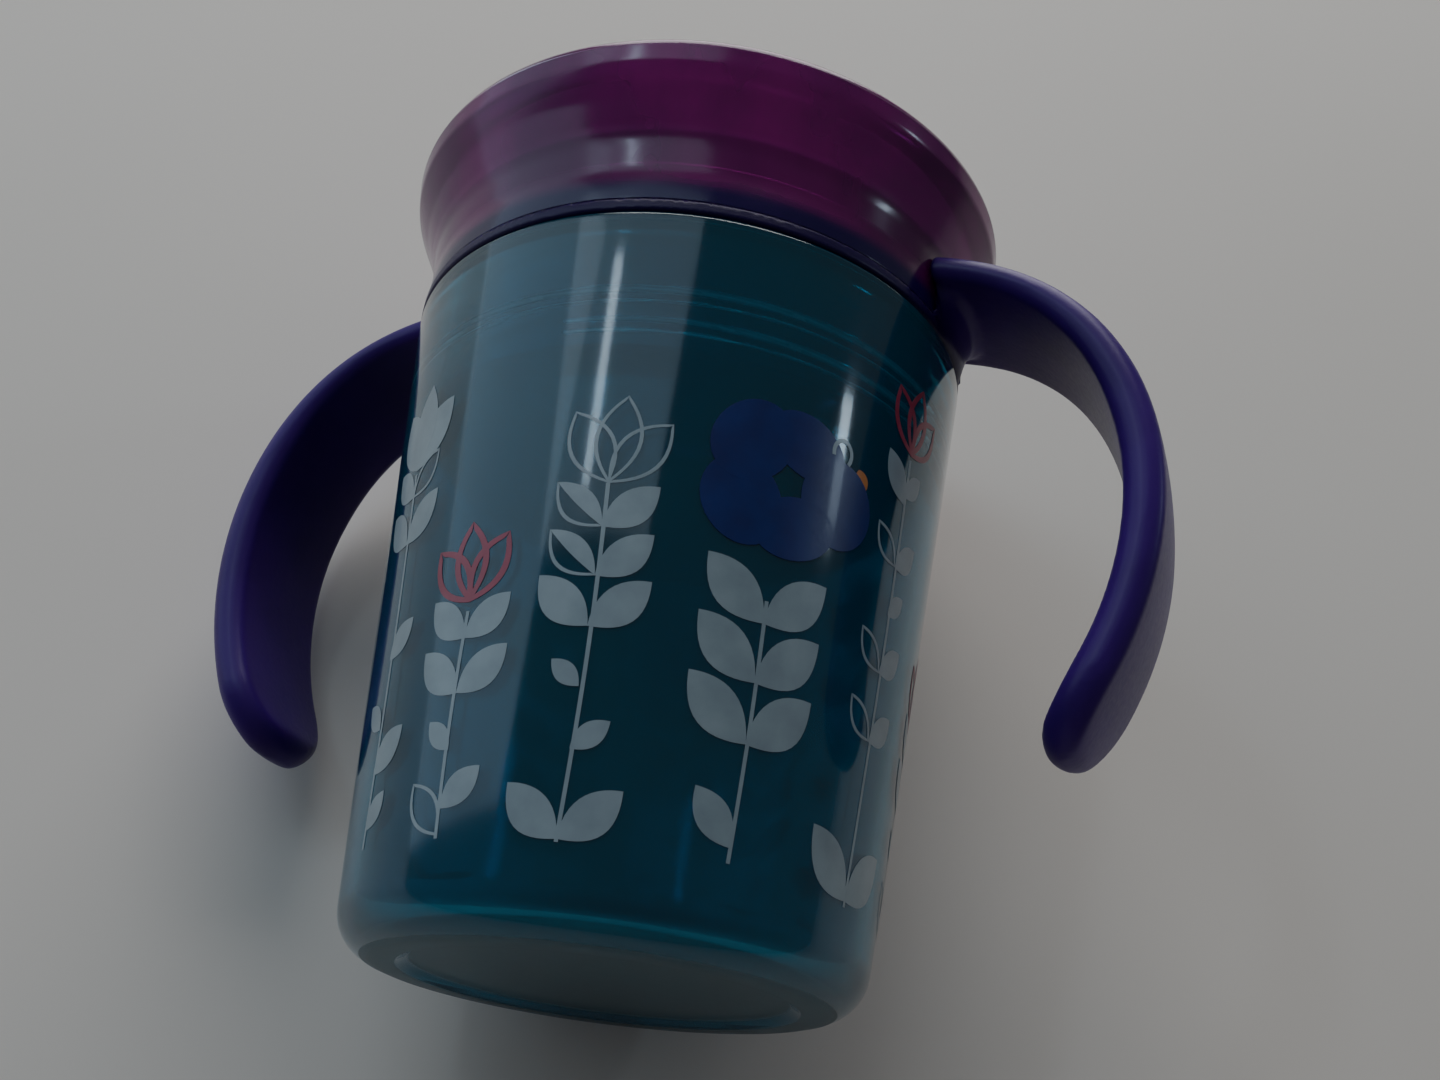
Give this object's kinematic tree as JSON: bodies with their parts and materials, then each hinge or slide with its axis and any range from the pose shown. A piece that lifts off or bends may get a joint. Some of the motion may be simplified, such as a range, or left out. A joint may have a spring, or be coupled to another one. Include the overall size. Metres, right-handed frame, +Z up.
{
  "type": "sippy cup",
  "caption": "Toddler trainer cup with a flared drinking rim all the way round, a soft valve disc, a screw lid and a clamped ring with curved handles.",
  "frame": {"origin": "centre of the foot ring, on the surface the cup stands on", "axes": "+Z up along the cup's axis, the handles lie along +X and -X"},
  "size_m": [0.1272, 0.0828, 0.1048],
  "materials": {
    "cup": "glossy translucent teal",
    "handles": "satin deep violet",
    "lid": "glossy translucent magenta purple",
    "valve": "milky silicone"
  },
  "bodies": {
    "cup": {"cup_body": "cup"},
    "handles": {"handle_ring": "handles"},
    "lid": {"lid_ring": "lid"},
    "valve": {"valve": "valve"}
  },
  "joints": [
    {"name": "lid_lift", "type": "slide", "parent": "cup", "child": "handles", "axis": [0, 0, 1], "range_m": [0, 0.021]},
    {"name": "lid_turn", "type": "hinge", "parent": "handles", "child": "lid", "pos_m": [0, 0, 0.0846], "axis": [0, 0, 1], "range_deg": [0, 1800]},
    {"name": "valve_lift", "type": "slide", "parent": "lid", "child": "valve", "axis": [0, 0, 1], "range_m": [0, 0.03]}
  ],
  "couplings": [
    {"joint": "lid_lift", "follows": "lid_turn", "m_per_rad": 0.00066845}
  ]
}
